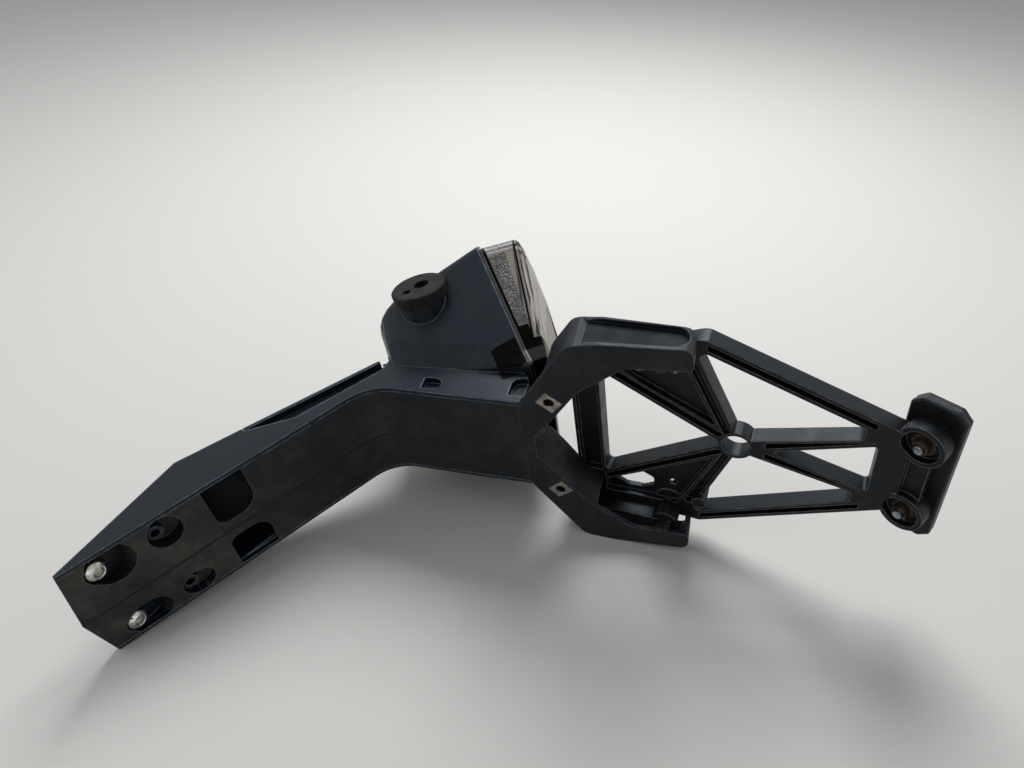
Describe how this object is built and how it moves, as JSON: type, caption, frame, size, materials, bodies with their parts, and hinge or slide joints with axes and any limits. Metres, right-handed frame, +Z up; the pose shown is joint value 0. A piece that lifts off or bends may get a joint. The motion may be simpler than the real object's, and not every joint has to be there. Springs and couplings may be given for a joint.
{
  "type": "license plate holder",
  "caption": "Bent hollow arm with a tail lamp, ending in a fork that holds an open ribbed plate carrier with a reflector at its foot.",
  "frame": {"origin": "centre of the sloped face that bolts under the tail, on its outer side", "axes": "lying on its right side as in the picture: +X from the mount end towards the reflector foot, +Y rearwards, +Z up, close to the riding left"},
  "size_m": [0.4249, 0.2966, 0.1721],
  "materials": {
    "body_plastic": "moulded satin black",
    "carrier_plastic": "moulded black, slightly glossy",
    "seat_rubber": "matt black rubber",
    "smoked_lens": "smoked clear plastic",
    "clear_guide": "clear moulded plastic",
    "board": "circuit board",
    "zinc": "zinc plated, bright",
    "worn_steel": "worn plating",
    "rusty_steel": "rusty steel",
    "red_reflector": "red prismatic plastic"
  },
  "bodies": {
    "root": {"tail_body": "body_plastic", "left_cover": "body_plastic", "right_cover": "body_plastic", "arm_roof": "body_plastic", "plate_carrier": "carrier_plastic", "reflector_base": "carrier_plastic", "lamp_bezel": "carrier_plastic", "lamp_gasket": "carrier_plastic", "left_indicator_seat": "seat_rubber", "right_indicator_seat": "seat_rubber", "lamp_lens": "smoked_lens", "light_guide": "clear_guide", "led_board": "board", "left_mount_bolt": "zinc", "right_mount_bolt": "zinc", "left_carrier_screw": "zinc", "right_carrier_screw": "zinc", "left_clip_nut": "worn_steel", "right_clip_nut": "worn_steel", "left_reflector_stud": "worn_steel", "right_reflector_stud": "worn_steel", "left_nut": "rusty_steel", "right_nut": "rusty_steel", "left_washer": "rusty_steel", "right_washer": "rusty_steel", "reflector_lens": "red_reflector"}
  },
  "joints": []
}
